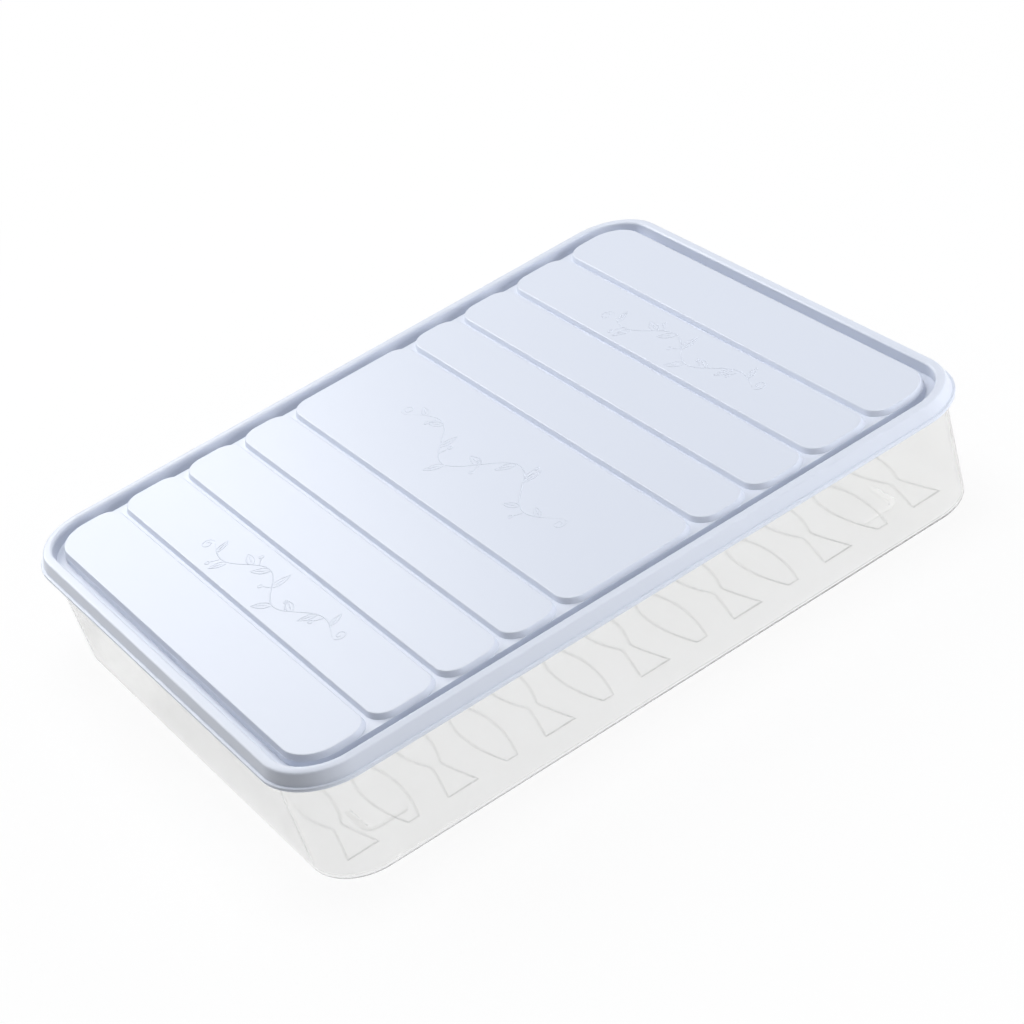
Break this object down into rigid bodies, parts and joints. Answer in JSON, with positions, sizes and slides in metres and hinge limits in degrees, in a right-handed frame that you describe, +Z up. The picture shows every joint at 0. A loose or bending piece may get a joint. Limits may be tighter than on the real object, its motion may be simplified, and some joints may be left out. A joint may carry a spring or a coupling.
{
  "type": "food storage container",
  "caption": "Shallow rectangular refrigerator food keeper: a clear tapered bin on low corner feet, closed by a lift-off lid with a hollow rim, a sunken channel and raised panels.",
  "frame": {"origin": "middle of the plane that the feet stand on", "axes": "+X along the length, +Y across the width, +Z up through the lid"},
  "size_m": [0.3464, 0.2784, 0.0609],
  "materials": {
    "clear_plastic": "clear, smooth moulded",
    "lid_plastic": "opaque pale blue, soft gloss moulded"
  },
  "bodies": {
    "bin": {"bin": "clear_plastic"},
    "lid": {"lid": "lid_plastic"}
  },
  "joints": [
    {"name": "lid_lift", "type": "slide", "parent": "bin", "child": "lid", "axis": [0, 0, 1], "range_m": [0, 0.1]}
  ]
}
